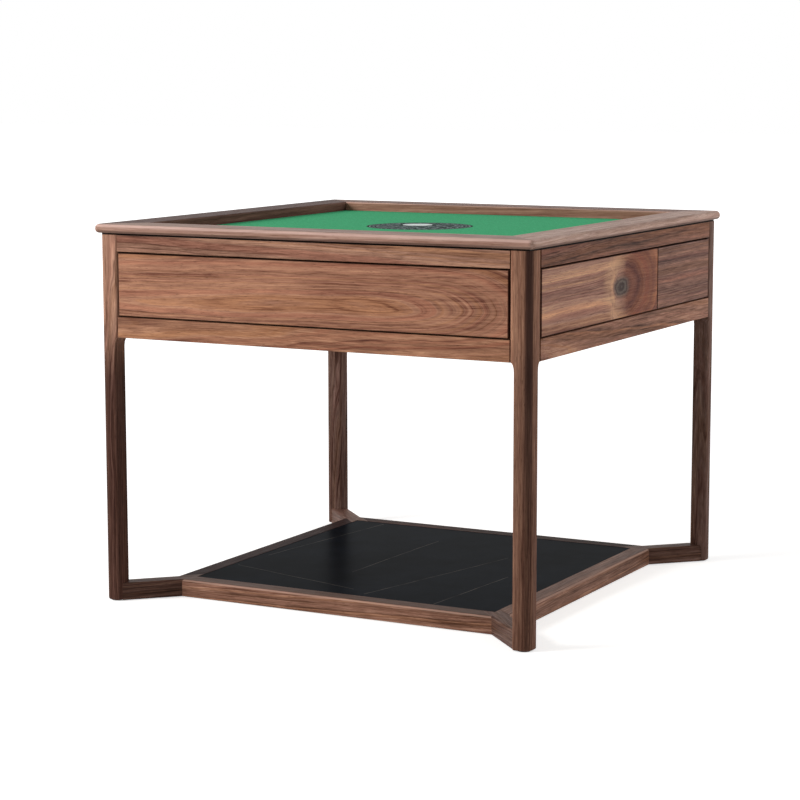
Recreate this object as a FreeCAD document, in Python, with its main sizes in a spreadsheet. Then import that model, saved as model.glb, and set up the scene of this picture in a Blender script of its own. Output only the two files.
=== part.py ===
import FreeCAD, Part
import math
import os
import re

import Sketcher

# A square mahjong table: four posts, a carcass of rails with six flush drawers, a mitred rim
# round a sunken felt field, and a low shelf frame that holds a stone slab.
# The frame: origin on the floor under the centre, +Z up, +Y away from the front.
# Whatever repeats is drawn on the front side, at -Y, or in the front right corner,
# and its Placement turns it about Z to the other sides.

# Driving sizes in millimetres.
SIZES = {
    "tableHeight": 760,        # floor to rim top
    "topSide": 958,            # rim, outer side
    "topOverhang": 8,          # rim past the post faces
    "rimWidth": 83,
    "rimEdgeHeight": 18,       # visible outer edge of the rim
    "rimCornerRadius": 12,     # in plan
    "rimNoseRadius": 9,        # upper round-over of the outer edge
    "rimUnderRadius": 8,       # lower round-over of the outer edge
    "rimLipRadius": 4,         # round-over beside the felt
    "shadowGapHeight": 3,
    "shadowGapDepth": 5,       # behind the post faces
    "feltThickness": 2,
    "feltPlay": 0.3,
    "boardThickness": 15,
    "boardTuck": 20,           # board under the rim
    "glideThickness": 2,
    "glideRadius": 12,
    "legHead": 43,             # post side beside the rails
    "legPost": 36,             # post side below the rails
    "legOuterRadius": 18,
    "legInnerRadius": 6,
    "flareHeight": 18,
    "footRadius": 3,
    "railThickness": 22,
    "topRailHeight": 33,
    "openingHeight": 129.5,
    "bottomRailHeight": 41,
    "railEdgeRadius": 1.5,
    "tenonLength": 24,
    "tenonThickness": 8,
    "tenonShoulder": 6,        # rail above and below its tenon
    "revealGap": 3,            # round every drawer front
    "frontThickness": 20,
    "frontEdge": 0.8,          # eased edge of a drawer front
    "dovetailLength": 8,       # tongue of a drawer side, let into the front
    "dovetailNeck": 5,
    "dovetailTip": 8,
    "sideThickness": 12,
    "backThickness": 12,
    "backInset": 10,           # drawer sides and bottom past the back
    "housingDepth": 4,         # drawer back into the sides
    "bottomThickness": 6,
    "bottomLift": 8,           # drawer side below its groove
    "bottomPlay": 0.3,         # drawer bottom short of its grooves' floors
    "grooveDepth": 6,
    "boxHeight": 100,
    "boxSidePlay": 1,
    "runnerPlay": 0.3,
    "kickerPlay": 1,
    "runnerWidth": 14,
    "runnerHeight": 16,
    "guideWidth": 8,
    "guideHeight": 12,
    "stopDepth": 12,
    "stopPlay": 0.3,           # closed front to its stop
    "stopDrop": 2,             # drawer bottom above the stop
    "centreBoxWidth": 430,
    "centreBackRoom": 68,      # long drawer's back to the table's middle
    "sideBackRoom": 30,        # side drawer's back to the partition
    "partitionThickness": 18,
    "partitionRise": 8,        # partition foot above the rails' lower edge
    "sideSplit": 137,          # seam between the two side drawers, from the middle
    "shelfSetback": 95.5,      # post faces to the shelf frame's outer faces
    "shelfRailWidth": 38,
    "shelfRailHeight": 34.5,
    "shelfLift": 1.5,          # floor to shelf frame
    "shelfEdgeRadius": 5,
    "armWidth": 38,
    "ledgeWidth": 12,
    "ledgeHeight": 22,
    "stoneThickness": 12,
    "stonePlay": 0.3,
    "battenWidth": 45,
    "battenSpacing": 240,
    "battenThickness": 12,
}

# Lengths that follow from the driving sizes.
RULES = {
    "rimOuter": "topSide / 2",
    "rimInner": "rimOuter - rimWidth",
    "postFace": "rimOuter - topOverhang",
    "headInner": "postFace - legHead",
    "postInner": "postFace - legPost",
    "railInner": "postFace - railThickness",
    "rimUnder": "tableHeight - rimEdgeHeight",
    "carcassTop": "rimUnder - shadowGapHeight",
    "openingTop": "carcassTop - topRailHeight",
    "openingFloor": "openingTop - openingHeight",
    "railFoot": "openingFloor - bottomRailHeight",
    "boardTop": "carcassTop",
    "feltTop": "boardTop + feltThickness",
    "boardFoot": "boardTop - boardThickness",
    "boardHalf": "rimInner + boardTuck",
    "flareFoot": "railFoot - flareHeight",
    "runnerTop": "frontFoot + runnerPlay",
    "boxFoot": "runnerTop + runnerPlay",
    "boxTop": "boxFoot + boxHeight",
    "boxBottomFoot": "boxFoot + bottomLift",
    "boxBottomTop": "boxBottomFoot + bottomThickness",
    "frontFoot": "openingFloor + revealGap",
    "frontBack": "postFace - frontThickness",
    "stopFace": "frontBack - stopPlay",
    "stopBack": "stopFace - stopDepth",
    "stopTop": "boxBottomFoot - stopDrop",
    "partitionInner": "centreBoxWidth / 2 + boxSidePlay",
    "partitionOuter": "partitionInner + partitionThickness",
    "partitionFoot": "railFoot + partitionRise",
    "sideBoxRear": "partitionOuter + sideBackRoom",
    "shelfOuter": "postFace - shelfSetback",
    "shelfInner": "shelfOuter - shelfRailWidth",
    "ledgeInner": "shelfInner - ledgeWidth",
    "shelfTop": "shelfLift + shelfRailHeight",
    "ledgeTop": "shelfLift + ledgeHeight",
    "armReach": "armWidth / sqrt(2)",
}

# Foot and top of the bars below a drawer's sides, and of those above them.
RUNNER_LEVELS = (
    ("runnerTop - runnerHeight", "runnerTop"),
    ("boxTop + kickerPlay", "boardFoot"),
)

SIDES = (("front", 0), ("right", 90), ("back", 180), ("left", 270))
CORNERS = (("front_right", 0), ("back_right", 90), ("back_left", 180), ("front_left", 270))

doc = FreeCAD.newDocument("MahjongTable")
sheet = doc.addObject("Spreadsheet::Sheet", "Sizes")
for row, (alias, value) in enumerate(SIZES.items(), start=1):
    sheet.set("A%d" % row, alias)
    sheet.set("B%d" % row, str(value))
    sheet.setAlias("B%d" % row, alias)
doc.recompute()

subParts = []


def spelled(text):
    """Write a rule out in full, down to the sheet's own cells."""
    def word(match):
        name = match.group(0)
        if name in RULES:
            return "(" + spelled(RULES[name]) + ")"
        if name in SIZES:
            return "Sizes." + name
        return name
    return re.sub(r"[A-Za-z]\w*", word, str(text))


def size(text):
    """The present value of a rule, in millimetres."""
    result = sheet.evalExpression(spelled(text))
    return float(getattr(result, "Value", result))


def bind(thing, **properties):
    """Tie properties of an object to rules; a double underscore stands for a dot."""
    for name, text in properties.items():
        thing.setExpression(name.replace("__", "."), spelled(text))


def keep(thing, label, turn=0):
    """Name a finished sub-part and turn it to its side of the table."""
    if thing.TypeId == "Part::Box":
        thing = group(label, [thing])
    thing.Label = label
    thing.Placement = FreeCAD.Placement(FreeCAD.Vector(), FreeCAD.Rotation(FreeCAD.Vector(0, 0, 1), turn))
    subParts.append(thing)
    return thing


# Sketches and bodies

def makeBody(name):
    return doc.addObject("PartDesign::Body", "Body_" + name)


def makeSketch(body, lift="0"):
    """A sketch on the body's own level plane, lifted to a height."""
    sketch = body.newObject("Sketcher::SketchObject", "Sketch")
    plane = [item for item in body.Origin.OriginFeatures if item.Role == "XY_Plane"]
    sketch.AttachmentSupport = [(plane[0], "")]
    sketch.MapMode = "FlatFace"
    bind(sketch, AttachmentOffset__Base__z=lift)
    return sketch


def pin(sketch, kind, element, point, text):
    """Hold a point at a distance from the sketch's origin that follows a rule."""
    index = sketch.addConstraint(Sketcher.Constraint(kind, -1, 1, element, point, size(text)))
    sketch.setExpression("Constraints[%d]" % index, spelled(text))


def drawPolygon(sketch, corners):
    """A closed outline of straight lines through corners given as two rules each."""
    points = [FreeCAD.Vector(size(x), size(y), 0) for x, y in corners]
    count = len(points)
    lines = [
        sketch.addGeometry(Part.LineSegment(points[i], points[(i + 1) % count]), False)
        for i in range(count)
    ]
    for i, line in enumerate(lines):
        following = lines[(i + 1) % count]
        sketch.addConstraint(Sketcher.Constraint("Coincident", line, 2, following, 1))
        pin(sketch, "DistanceX", line, 1, corners[i][0])
        pin(sketch, "DistanceY", line, 1, corners[i][1])


def drawSquare(sketch, half):
    negative = "-(%s)" % half
    drawPolygon(sketch, [(negative, negative), (half, negative), (half, half), (negative, half)])


def drawRounded(sketch, corners):
    """A closed outline with a round corner of its own radius at each given corner."""
    count = len(corners)
    points = [FreeCAD.Vector(size(x), size(y), 0) for x, y, _ in corners]
    radii = [size(radius) for _, _, radius in corners]
    arcs = []
    starts = []
    ends = []
    for i, point in enumerate(points):
        before = (points[i - 1] - point).normalize()
        after = (points[(i + 1) % count] - point).normalize()
        half = before.getAngle(after) / 2
        centre = point + (before + after).normalize() * (radii[i] / math.sin(half))
        starts.append(point + before * (radii[i] / math.tan(half)))
        ends.append(point + after * (radii[i] / math.tan(half)))
        middle = centre + (point - centre).normalize() * radii[i]
        arcs.append(Part.Arc(starts[i], middle, ends[i]))
    lines = [
        sketch.addGeometry(Part.LineSegment(ends[i], starts[(i + 1) % count]), False)
        for i in range(count)
    ]
    for i, arc in enumerate(arcs):
        rounded = sketch.addGeometry(arc, False)
        vertex = sketch.addGeometry(Part.Point(points[i]), True)
        before = lines[i - 1]
        after = lines[i]
        atStart = 1 if arc.value(arc.FirstParameter).distanceToPoint(starts[i]) < radii[i] / 10 else 2
        sketch.addConstraint(Sketcher.Constraint("Tangent", before, 2, rounded, atStart))
        sketch.addConstraint(Sketcher.Constraint("Tangent", rounded, 3 - atStart, after, 1))
        sketch.addConstraint(Sketcher.Constraint("PointOnObject", vertex, 1, before))
        sketch.addConstraint(Sketcher.Constraint("PointOnObject", vertex, 1, after))
        pin(sketch, "DistanceX", vertex, 1, corners[i][0])
        pin(sketch, "DistanceY", vertex, 1, corners[i][1])
        index = sketch.addConstraint(Sketcher.Constraint("Radius", rounded, radii[i]))
        sketch.setExpression("Constraints[%d]" % index, spelled(corners[i][2]))


def pad(body, sketch, length):
    feature = body.newObject("PartDesign::Pad", "Pad")
    feature.Profile = sketch
    bind(feature, Length=length)
    doc.recompute()
    return feature


def pocket(body, sketch, length=None, upward=False):
    """Cut along the sketch's normal, through everything when no length is given."""
    before = body.Tip.Shape.Volume
    feature = body.newObject("PartDesign::Pocket", "Pocket")
    feature.Profile = sketch
    feature.Reversed = upward
    if length is None:
        feature.Type = "ThroughAll"
        feature.Midplane = True
    else:
        bind(feature, Length=length)
    doc.recompute()
    if feature.Shape.Volume >= before:
        raise RuntimeError("%s cuts nothing from %s" % (feature.Name, body.Name))
    return feature


def keepInside(body, corners):
    """Cut away all that lies outside an outline seen from above."""
    sketch = makeSketch(body)
    drawSquare(sketch, "topSide")
    drawPolygon(sketch, corners)
    return pocket(body, sketch)


def findEdges(feature, test):
    """Names of the edges whose bounding box passes a test."""
    return [
        "Edge%d" % number
        for number, edge in enumerate(feature.Shape.Edges, start=1)
        if test(edge.BoundBox)
    ]


def dress(body, kind, feature, edges, measure):
    """Round or chamfer some edges of a body's last feature."""
    if not edges:
        raise RuntimeError("no edge to dress on " + body.Name)
    result = body.newObject("PartDesign::" + kind, kind)
    result.Base = (feature, edges)
    if kind == "Fillet":
        bind(result, Radius=measure)
    else:
        bind(result, Size=measure)
    doc.recompute()
    return result


def isLevel(box, height):
    return abs(box.ZMin - height) < 1e-4 and abs(box.ZMax - height) < 1e-4


def reach(box):
    """How far an edge goes from the table's middle, along X or Y."""
    return max(abs(box.XMin), abs(box.XMax), abs(box.YMin), abs(box.YMax))


def makeBlock(name, low, high):
    """A plain board between two corners, each given as three rules."""
    block = doc.addObject("Part::Box", "Block_" + name)
    for axis, length, start, end in zip("xyz", ("Length", "Width", "Height"), low, high):
        bind(block, **{length: "(%s) - (%s)" % (end, start)})
        bind(block, **{"Placement__Base__" + axis: start})
    return block


def group(name, pieces):
    """Separate solids that share one node."""
    bunch = doc.addObject("Part::Compound", "Group_" + name)
    bunch.Links = pieces
    return bunch


# Posts

def drawPost(sketch, inner):
    """A post's section in the front right corner, with the large radius outside."""
    drawRounded(sketch, [
        (inner, "-postFace", "legInnerRadius"),
        ("postFace", "-postFace", "legOuterRadius"),
        ("postFace", "-(%s)" % inner, "legInnerRadius"),
        (inner, "-(%s)" % inner, "legInnerRadius"),
    ])


def makeLeg(corner, turn):
    """A slim post that flares into a stouter head, which the rails are tenoned into."""
    body = makeBody("leg")
    foot = makeSketch(body, lift="glideThickness")
    drawPost(foot, "postInner")
    post = pad(body, foot, "flareFoot - glideThickness")
    level = size("glideThickness")
    dress(body, "Fillet", post, findEdges(post, lambda box: isLevel(box, level)), "footRadius")
    sections = []
    stepCount = 4
    for step in range(stepCount + 1):
        angle = 90 * step / stepCount
        bulge = "(legHead - legPost) * (1 - cos(%g))" % angle
        height = "flareFoot + flareHeight * sin(%g)" % angle
        section = makeSketch(body, lift=height)
        drawPost(section, "postInner - %s" % bulge)
        sections.append(section)
    flare = body.newObject("PartDesign::AdditiveLoft", "Flare")
    flare.Profile = sections[0]
    flare.Sections = sections[1:]
    flare.Ruled = True
    doc.recompute()
    headSketch = makeSketch(body, lift="railFoot")
    drawPost(headSketch, "headInner")
    pad(body, headSketch, "carcassTop - railFoot")
    for low, high in (("openingTop", "carcassTop"), ("railFoot", "openingFloor")):
        cutMortises(body, low, high)
    return keep(body, "leg_" + corner, turn)


def tenonLine():
    """Distance from the table's middle to the outer cheek of a tenon."""
    return "postFace - (railThickness - tenonThickness) / 2"


def cutMortises(body, low, high):
    """Two blind mortises, one for the rail on each side of the corner."""
    outer = tenonLine()
    inner = outer + " - tenonThickness"
    tip = "headInner + tenonLength"
    mortises = (
        [("headInner", inner), (tip, inner), (tip, outer), ("headInner", outer)],
        [(inner, "headInner"), (inner, tip), (outer, tip), (outer, "headInner")],
    )
    for corners in mortises:
        sketch = makeSketch(body, lift="%s + tenonShoulder" % low)
        drawPolygon(sketch, [(x, "-(%s)" % y) for x, y in corners])
        pocket(body, sketch, "%s - %s - 2 * tenonShoulder" % (high, low), upward=True)


def makeGlides():
    """Nylon discs under the posts."""
    discs = []
    centre = "(postInner + postFace) / 2"
    for number, (signX, signY) in enumerate(((1, -1), (1, 1), (-1, 1), (-1, -1))):
        disc = doc.addObject("Part::Cylinder", "Glide%d" % number)
        bind(disc, Radius="glideRadius", Height="glideThickness")
        bind(disc, Placement__Base__x="%d * %s" % (signX, centre))
        bind(disc, Placement__Base__y="%d * %s" % (signY, centre))
        discs.append(disc)
    return keep(group("glides", discs), "leg_glides")


# Rails between the posts

def makeRail(label, turn, low, high):
    """A rail between two posts, with a tenon on each end."""
    body = makeBody("rail")
    sketch = makeSketch(body, lift=low)
    drawPolygon(sketch, [
        ("-headInner", "-postFace"),
        ("headInner", "-postFace"),
        ("headInner", "-railInner"),
        ("-headInner", "-railInner"),
    ])
    beam = pad(body, sketch, "%s - %s" % (high, low))
    foot = size(low)
    dress(body, "Fillet", beam, findEdges(beam, lambda box: isLevel(box, foot) and box.XLength > box.YLength),
          "railEdgeRadius")
    outer = "-(%s)" % tenonLine()
    inner = "-(%s - tenonThickness)" % tenonLine()
    for sign in ("", "-"):
        tip = "%s(headInner + tenonLength)" % sign
        root = "%sheadInner" % sign
        tenon = makeSketch(body, lift="%s + tenonShoulder" % low)
        drawPolygon(tenon, [(root, outer), (tip, outer), (tip, inner), (root, inner)])
        pad(body, tenon, "%s - %s - 2 * tenonShoulder" % (high, low))
    return keep(body, label, turn)


# Rim, board and felt

def makeRim(side, turn):
    """One mitred member of the rim, with a bull-nosed outer edge and a shadow rebate under it."""
    body = makeBody("rim")
    lower = makeSketch(body, lift="carcassTop")
    drawSquare(lower, "postFace - shadowGapDepth")
    drawSquare(lower, "rimInner")
    pad(body, lower, "shadowGapHeight")
    upper = makeSketch(body, lift="rimUnder")
    signs = ((-1, -1), (1, -1), (1, 1), (-1, 1))
    drawRounded(upper, [("%d * rimOuter" % x, "%d * rimOuter" % y, "rimCornerRadius") for x, y in signs])
    drawSquare(upper, "rimInner")
    ring = pad(body, upper, "rimEdgeHeight")
    top = size("tableHeight")
    under = size("rimUnder")
    middle = size("(rimOuter + rimInner) / 2")
    nose = size("(rimOuter + postFace - shadowGapDepth) / 2")
    ring = dress(body, "Fillet", ring,
                 findEdges(ring, lambda box: isLevel(box, top) and reach(box) > middle), "rimNoseRadius")
    ring = dress(body, "Fillet", ring,
                 findEdges(ring, lambda box: isLevel(box, under) and reach(box) > nose), "rimUnderRadius")
    dress(body, "Fillet", ring,
          findEdges(ring, lambda box: isLevel(box, top) and reach(box) < middle), "rimLipRadius")
    keepInside(body, [("0", "0"), ("-rimOuter", "-rimOuter"), ("rimOuter", "-rimOuter")])
    return keep(body, "rim_" + side, turn)


def makeSlab(label, half, low, high):
    """A square sheet about the table's middle."""
    negative = "-(%s)" % half
    return keep(makeBlock(label, (negative, negative, low), (half, half, high)), label)


# Inside the carcass

def makePartition(side, sign):
    """An upright board from front to back that the long drawers run between."""
    faces = ("partitionInner", "partitionOuter") if sign > 0 else ("-partitionOuter", "-partitionInner")
    low = (faces[0], "-railInner", "partitionFoot")
    high = (faces[1], "railInner", "boardFoot")
    return keep(makeBlock("partition", low, high), "partition_" + side)


def makeDivider(side, turn):
    """An upright board between the two drawers of one side."""
    low = ("sideSplit - partitionThickness / 2", "-railInner", "partitionFoot")
    high = ("sideSplit + partitionThickness / 2", "-partitionOuter", "boardFoot")
    return keep(makeBlock("divider", low, high), "divider_" + side, turn)


def makeCentreRunners():
    """Runners below and kickers above the two long drawers, on the partitions, and between
    the runners a stop on each rail that the closed front meets."""
    bars = []
    for low, high in (("-partitionInner", "-partitionInner + runnerWidth"),
                      ("partitionInner - runnerWidth", "partitionInner")):
        for foot, top in RUNNER_LEVELS:
            bars.append(makeBlock("runner", (low, "-railInner", foot), (high, "railInner", top)))
    low, high = "-partitionInner + runnerWidth", "partitionInner - runnerWidth"
    for near, far in (("-stopFace", "-stopBack"), ("stopBack", "stopFace")):
        bars.append(makeBlock("stop", (low, near, "openingFloor"), (high, far, "stopTop")))
    return keep(group("centre_runners", bars), "runners_centre")


def makeSideRunners(side, turn):
    """Runners, kickers and guides for the two drawers of one side, from rail to partition,
    and a stop between each drawer's runners."""
    wideLow, wideHigh = boxSpan("-headInner", "sideSplit")
    narrowLow, narrowHigh = boxSpan("sideSplit", "headInner")
    starts = (
        "%s - boxSidePlay" % wideLow,
        "%s + boxSidePlay - runnerWidth" % wideHigh,
        "%s - boxSidePlay" % narrowLow,
        "%s + boxSidePlay - runnerWidth" % narrowHigh,
    )
    bars = []
    for start in starts:
        for foot, top in RUNNER_LEVELS:
            high = ("%s + runnerWidth" % start, "-partitionOuter", top)
            bars.append(makeBlock("runner", (start, "-railInner", foot), high))
    for low, high in (starts[:2], starts[2:]):
        near = ("%s + runnerWidth" % low, "-stopFace", "openingFloor")
        bars.append(makeBlock("stop", near, (high, "-stopBack", "stopTop")))
    for start in ("-headInner", "headInner - guideWidth"):
        high = ("%s + guideWidth" % start, "-partitionOuter", "runnerTop + guideHeight")
        bars.append(makeBlock("guide", (start, "-railInner", "runnerTop - runnerHeight"), high))
    return keep(group("side_runners", bars), "runners_" + side, turn)


# Drawers

def boxSpan(low, high):
    """A side drawer's box between the post or divider on its left and on its right."""
    def inset(edge, sign):
        if edge == "sideSplit":
            return "%s %s (partitionThickness / 2 + boxSidePlay)" % (edge, sign)
        return "%s %s (guideWidth + boxSidePlay)" % (edge, sign)
    return inset(low, "+"), inset(high, "-")


def drawDovetail(edge):
    """A side's dovetail tongue in plan, at the front's back; edge is the side's lower face."""
    middle = "%s + sideThickness / 2" % edge
    tip = "-(frontBack + dovetailLength)"
    return [
        ("%s - dovetailNeck / 2" % middle, "-frontBack"),
        ("%s - dovetailTip / 2" % middle, tip),
        ("%s + dovetailTip / 2" % middle, tip),
        ("%s + dovetailNeck / 2" % middle, "-frontBack"),
    ]


def makeFront(name, turn, span, boxSides):
    """A drawer front with eased edges, flush with the rails, with stopped dovetail sockets
    for the sides and a groove for the bottom."""
    low, high = span
    body = makeBody("front")
    sketch = makeSketch(body, lift="frontFoot")
    drawPolygon(sketch, [(low, "-postFace"), (high, "-postFace"), (high, "-frontBack"), (low, "-frontBack")])
    panel = pad(body, sketch, "openingHeight - 2 * revealGap")
    face = -size("postFace")
    edges = findEdges(panel, lambda box: abs(box.YMin - face) < 1e-4 and abs(box.YMax - face) < 1e-4)
    dress(body, "Chamfer", panel, edges, "frontEdge")
    low, high = boxSides
    for edge in (low, "%s - sideThickness" % high):
        socket = makeSketch(body, lift="frontFoot")
        drawPolygon(socket, drawDovetail(edge))
        pocket(body, socket, "boxTop - frontFoot", upward=True)
    start = "%s + sideThickness - grooveDepth" % low
    end = "%s - sideThickness + grooveDepth" % high
    deep = "-(frontBack + grooveDepth)"
    groove = makeSketch(body, lift="boxBottomFoot")
    drawPolygon(groove, [(start, deep), (end, deep), (end, "-frontBack"), (start, "-frontBack")])
    pocket(body, groove, "bottomThickness", upward=True)
    return keep(body, name + "_face", turn)


def makeDrawerSide(edge, grooveSpan, housingSpan, rear):
    """A drawer side with its dovetail tongue, the bottom's groove and the back's housing."""
    far = "%s + sideThickness" % edge
    body = makeBody("side")
    outline = makeSketch(body, lift="boxFoot")
    tongue = drawDovetail(edge)
    drawPolygon(outline, [(edge, "-frontBack")] + tongue + [(far, "-frontBack"), (far, rear), (edge, rear)])
    pad(body, outline, "boxHeight")
    backEnd = "%s - backInset" % rear
    cuts = (
        (grooveSpan, "-(frontBack + dovetailLength)", rear, "boxBottomFoot", "boxBottomTop"),
        (housingSpan, "%s - backThickness" % backEnd, backEnd, "boxBottomTop", "boxTop"),
    )
    for (start, end), near, away, foot, top in cuts:
        cut = makeSketch(body, lift=foot)
        drawPolygon(cut, [(start, near), (end, near), (end, away), (start, away)])
        pocket(body, cut, "%s - %s" % (top, foot), upward=True)
    return body


def makeDrawer(name, turn, span, boxSides, backFace):
    """A front, two sides tongued into it, a back housed between them, and the bottom in its grooves."""
    low, high = boxSides
    rear = "-(%s)" % backFace
    inner = ("%s + sideThickness" % low, "%s - sideThickness" % high)
    grooved = ("%s - grooveDepth" % inner[0], "%s + grooveDepth" % inner[1])
    housed = ("%s - housingDepth" % inner[0], "%s + housingDepth" % inner[1])
    makeFront(name, turn, span, boxSides)
    sides = [
        makeDrawerSide(low, (grooved[0], inner[0]), (housed[0], inner[0]), rear),
        makeDrawerSide(inner[1], (inner[1], grooved[1]), (inner[1], housed[1]), rear),
    ]
    keep(group("sides", sides), name + "_sides", turn)
    backEnd = "%s - backInset" % rear
    back = makeBlock(
        "back",
        (housed[0], "%s - backThickness" % backEnd, "boxBottomTop"),
        (housed[1], backEnd, "boxTop"),
    )
    keep(back, name + "_back", turn)
    bottom = makeBlock(
        "bottom",
        ("%s + bottomPlay" % grooved[0], "-(frontBack + grooveDepth - bottomPlay)", "boxBottomFoot"),
        ("%s - bottomPlay" % grooved[1], rear, "boxBottomTop"),
    )
    keep(bottom, name + "_bottom", turn)


def makeDrawers():
    """One long drawer at the front and back; a wide and a narrow one at each side."""
    edges = ("-headInner + revealGap", "headInner - revealGap")
    seam = ("sideSplit - revealGap / 2", "sideSplit + revealGap / 2")
    centreBox = ("-centreBoxWidth / 2", "centreBoxWidth / 2")
    for side, turn in (("front", 0), ("back", 180)):
        makeDrawer("drawer_" + side, turn, edges, centreBox, "centreBackRoom")
    for side, turn in (("right", 90), ("left", 270)):
        wideBox = boxSpan("-headInner", "sideSplit")
        narrowBox = boxSpan("sideSplit", "headInner")
        makeDrawer("drawer_%s_wide" % side, turn, (edges[0], seam[0]), wideBox, "sideBoxRear")
        makeDrawer("drawer_%s_narrow" % side, turn, (seam[1], edges[1]), narrowBox, "sideBoxRear")


# Shelf

def shelfCorner(signX, signY):
    """The outline of an arm's outer end: its two cheeks and the notch that takes the post."""
    corner = [
        ("shelfOuter - armReach", "shelfOuter"),
        ("postInner", "postInner + armReach"),
        ("postInner", "postInner"),
        ("postInner + armReach", "postInner"),
        ("shelfOuter", "shelfOuter - armReach"),
    ]
    if signX * signY > 0:
        corner.reverse()
    return [("%d * (%s)" % (signX, x), "%d * (%s)" % (signY, y)) for x, y in corner]


def makeShelfFrame(body):
    """The whole shelf frame in one piece, from which each rail and arm keeps its own stretch."""
    ledge = makeSketch(body, lift="shelfLift")
    drawSquare(ledge, "shelfInner + shelfRailWidth / 2")
    drawSquare(ledge, "ledgeInner")
    pad(body, ledge, "ledgeHeight")
    star = makeSketch(body, lift="shelfLift")
    corners = []
    for signX, signY in ((1, -1), (1, 1), (-1, 1), (-1, -1)):
        corners += shelfCorner(signX, signY)
    drawPolygon(star, corners)
    drawSquare(star, "shelfInner")
    frame = pad(body, star, "shelfRailHeight")
    top = size("shelfTop")
    inner = size("shelfInner") + 1
    notch = size("postInner") - 1

    def isOuterEdge(box):
        if not isLevel(box, top) or reach(box) < inner:
            return False
        isDiagonal = min(box.XLength, box.YLength) > 1
        return isDiagonal or reach(box) < notch

    dress(body, "Fillet", frame, findEdges(frame, isOuterEdge), "shelfEdgeRadius")


def makeShelfRail(side, turn):
    """A rail cut at forty-five degrees to meet the arms."""
    body = makeBody("shelf_rail")
    makeShelfFrame(body)
    keepInside(body, [
        ("0", "-armReach"),
        ("-(rimOuter - armReach)", "-rimOuter"),
        ("rimOuter - armReach", "-rimOuter"),
    ])
    return keep(body, "shelf_rail_" + side, turn)


def makeShelfArm(corner, turn):
    """A diagonal arm from the slab's corner to the post, notched round both."""
    body = makeBody("shelf_arm")
    makeShelfFrame(body)
    keepInside(body, [
        ("0", "-armReach"),
        ("rimOuter - armReach", "-rimOuter"),
        ("rimOuter", "-(rimOuter - armReach)"),
        ("armReach", "0"),
    ])
    return keep(body, "shelf_arm_" + corner, turn)


def makeShelfBattens():
    """Two bearers under the slab, level with the ledge."""
    bars = []
    for sign in (-1, 1):
        middle = "%d * battenSpacing / 2" % sign
        low = ("%s - battenWidth / 2" % middle, "-ledgeInner", "ledgeTop - battenThickness")
        high = ("%s + battenWidth / 2" % middle, "ledgeInner", "ledgeTop")
        bars.append(makeBlock("batten", low, high))
    return keep(group("battens", bars), "shelf_battens")


def saveAll():
    """Check every object, then write each sub-part to its own file."""
    for thing in doc.Objects:
        if "Invalid" in thing.State or "Error" in thing.State:
            raise RuntimeError("%s is %s" % (thing.Name, thing.State))
    for thing in subParts:
        if thing.Shape.isNull() or not thing.Shape.isValid():
            raise RuntimeError("%s has no valid shape" % thing.Label)
    os.makedirs("parts", exist_ok=True)
    for thing in subParts:
        thing.Shape.exportStep("parts/%s.step" % thing.Label)
    print(len(subParts), "sub-parts written")


for cornerName, cornerTurn in CORNERS:
    makeLeg(cornerName, cornerTurn)
    makeShelfArm(cornerName, cornerTurn)
for sideName, sideTurn in SIDES:
    makeRail("top_rail_" + sideName, sideTurn, "openingTop", "carcassTop")
    makeRail("bottom_rail_" + sideName, sideTurn, "railFoot", "openingFloor")
    makeRim(sideName, sideTurn)
    makeShelfRail(sideName, sideTurn)
makeGlides()
makeSlab("play_board", "boardHalf", "boardFoot", "boardTop")
makeSlab("felt", "rimInner - feltPlay", "boardTop", "feltTop")
makeSlab("stone_slab", "shelfInner - stonePlay", "ledgeTop", "ledgeTop + stoneThickness")
makeShelfBattens()
makePartition("left", -1)
makePartition("right", 1)
makeCentreRunners()
for sideName, sideTurn in (("right", 90), ("left", 270)):
    makeDivider(sideName, sideTurn)
    makeSideRunners(sideName, sideTurn)
makeDrawers()
doc.recompute()
saveAll()
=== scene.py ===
import math

import bmesh
import bpy
from mathutils import Matrix, Vector


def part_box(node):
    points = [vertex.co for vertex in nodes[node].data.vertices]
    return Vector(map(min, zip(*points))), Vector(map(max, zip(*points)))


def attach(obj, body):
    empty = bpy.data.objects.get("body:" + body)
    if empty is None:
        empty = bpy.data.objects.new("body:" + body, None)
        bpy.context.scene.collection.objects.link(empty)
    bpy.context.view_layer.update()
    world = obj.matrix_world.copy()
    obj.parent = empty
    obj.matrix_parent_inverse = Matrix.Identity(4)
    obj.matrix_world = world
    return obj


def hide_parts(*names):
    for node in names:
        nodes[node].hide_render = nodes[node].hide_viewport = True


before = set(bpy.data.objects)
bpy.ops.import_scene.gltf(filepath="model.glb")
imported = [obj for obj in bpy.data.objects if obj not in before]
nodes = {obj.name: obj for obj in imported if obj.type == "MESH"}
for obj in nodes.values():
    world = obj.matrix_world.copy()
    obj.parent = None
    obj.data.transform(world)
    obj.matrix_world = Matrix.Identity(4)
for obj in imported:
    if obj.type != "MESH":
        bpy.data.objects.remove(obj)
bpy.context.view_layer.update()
mm = 0.001  # the frame is in metres, and a joiner's sizes are in millimetres
corners = ("front_right", "back_right", "back_left", "front_left")
sides = ("front", "right", "back", "left")
print("frame loaded:", len(nodes), "nodes")


# small helpers

def linear(colour):
    channels = [int(colour[place:place + 2], 16) / 255 for place in (1, 3, 5)]
    lit = [c / 12.92 if c <= 0.04045 else ((c + 0.055) / 1.055) ** 2.4 for c in channels]
    return (*lit, 1.0)


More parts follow.
